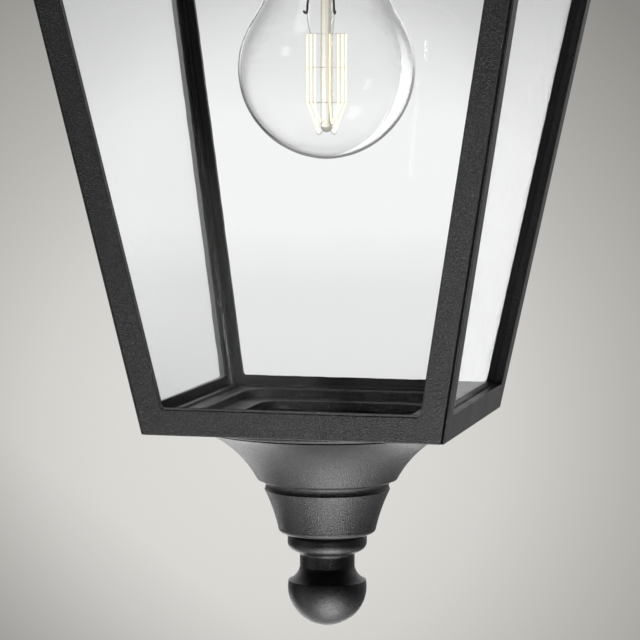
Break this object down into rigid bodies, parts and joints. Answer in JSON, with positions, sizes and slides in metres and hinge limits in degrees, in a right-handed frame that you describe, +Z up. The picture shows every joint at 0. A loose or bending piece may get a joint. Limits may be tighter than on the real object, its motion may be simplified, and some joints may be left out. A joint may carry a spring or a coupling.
{
  "type": "wall lantern",
  "caption": "Tapered square wall lantern with clear panes, a ball finial below, a clear cage-filament bulb, a hipped roof and a swan-neck arm on a wall plate.",
  "frame": {"origin": "centre of the wall plate's back face, midway between its two wall screws", "axes": "+Z up, +Y into the wall, +X to the right of someone who faces the wall"},
  "size_m": [0.2082, 0.2461, 0.4918],
  "materials": {
    "body_paint": "fine textured black powder coat on cast aluminium",
    "screw_black": "blackened steel",
    "steel": "zinc plated",
    "brass": "plain brass",
    "pane_glass": "clear flat glass",
    "bulb_glass": "clear blown glass",
    "seal_rubber": "black seal",
    "lampholder_black": "black phenolic moulding",
    "insulator": "black insulator with its contact",
    "filament_wire": "amber coated filament",
    "fine_wire": "fine drawn wire",
    "terminal_plastic": "pale moulding"
  },
  "bodies": {
    "root": {"frame_front": "body_paint", "frame_left": "body_paint", "frame_rear": "body_paint", "frame_right": "body_paint", "base_tray": "body_paint", "base_cup": "body_paint", "finial": "body_paint", "head_frame": "body_paint", "roof": "body_paint", "roof_neck": "body_paint", "roof_cap": "body_paint", "arm": "body_paint", "arm_collar": "body_paint", "arm_rosette": "body_paint", "wall_plate": "body_paint", "skirt_screws": "screw_black", "collar_screw": "screw_black", "foot_screws": "screw_black", "cup_screws": "screw_black", "head_screws": "steel", "finial_stud": "steel", "finial_nut": "steel", "nipple": "steel", "nipple_nuts": "steel", "arm_nut": "steel", "lampholder_shell": "brass", "lampholder_contact": "brass", "earth_screw": "brass", "terminal_screws": "brass", "bulb_cap": "brass", "glass_front": "pane_glass", "glass_left": "pane_glass", "glass_rear": "pane_glass", "glass_right": "pane_glass", "bulb_envelope": "bulb_glass", "bulb_stem": "bulb_glass", "glass_seals": "seal_rubber", "wall_gasket": "seal_rubber", "lampholder_body": "lampholder_black", "lampholder_cap": "lampholder_black", "bulb_tip": "insulator", "bulb_filament": "filament_wire", "bulb_supports": "fine_wire", "bulb_leads": "fine_wire", "terminal_block": "terminal_plastic"}
  },
  "joints": []
}
